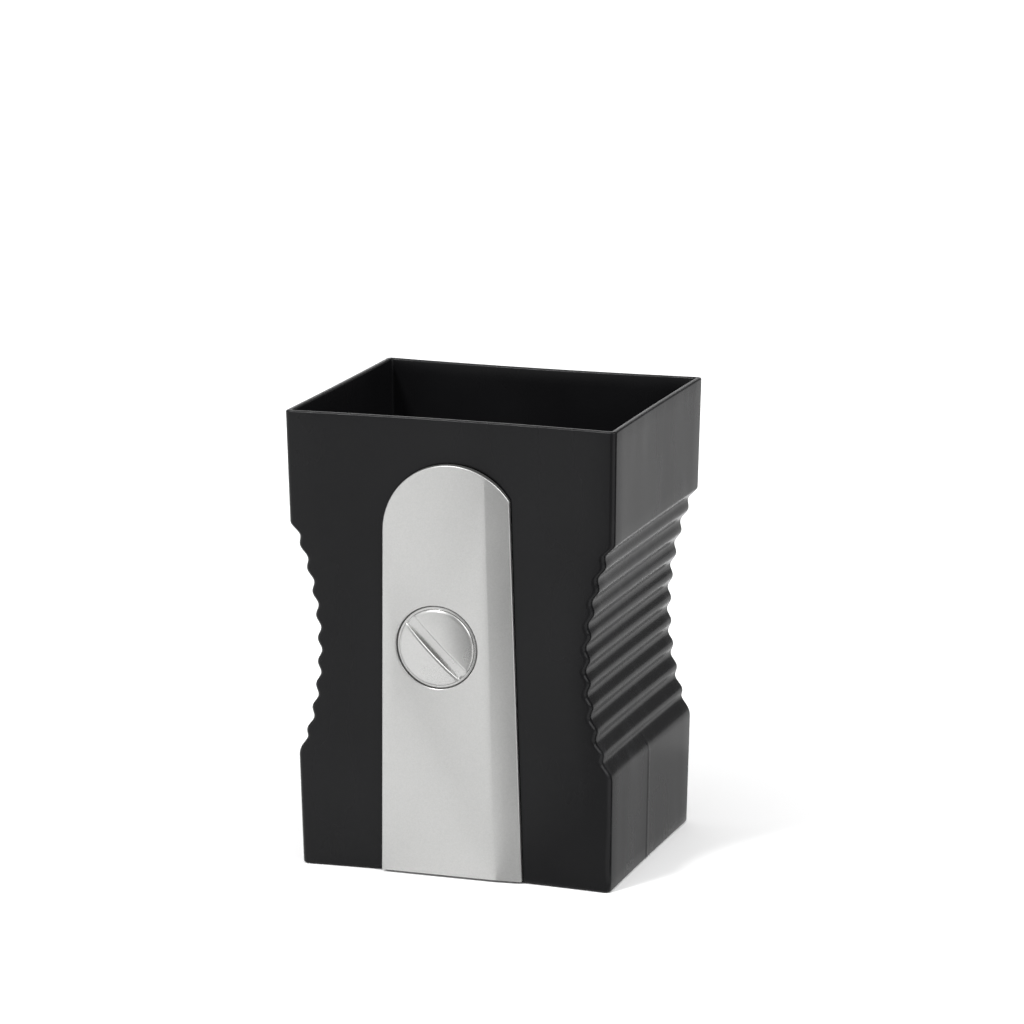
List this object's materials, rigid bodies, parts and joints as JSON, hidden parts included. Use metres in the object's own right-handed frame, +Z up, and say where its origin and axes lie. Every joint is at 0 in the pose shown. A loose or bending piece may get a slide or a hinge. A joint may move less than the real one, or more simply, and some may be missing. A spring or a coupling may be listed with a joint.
{
  "type": "pencil holder",
  "caption": "Free-standing desk pencil cup shaped like a giant block pencil sharpener, with ribbed waisted sides and a slotted silver blade plate on its front.",
  "frame": {"origin": "middle of the underside, on the surface that the holder stands on", "axes": "+Z up through the open top, -Y out of the front face with the silver plate, +X to the right as seen from the front"},
  "size_m": [0.0768, 0.0664, 0.105],
  "materials": {
    "black_plastic": "satin moulded black",
    "black_floor_plastic": "matt moulded black",
    "silver_paint": "fine metallic silver paint on moulded plastic, satin",
    "silver_head_paint": "fine metallic silver paint on moulded plastic, satin"
  },
  "bodies": {
    "root": {"cup_body": "black_plastic", "base_plate": "black_floor_plastic", "blade_plate": "silver_paint", "screw_head": "silver_head_paint"}
  },
  "joints": []
}
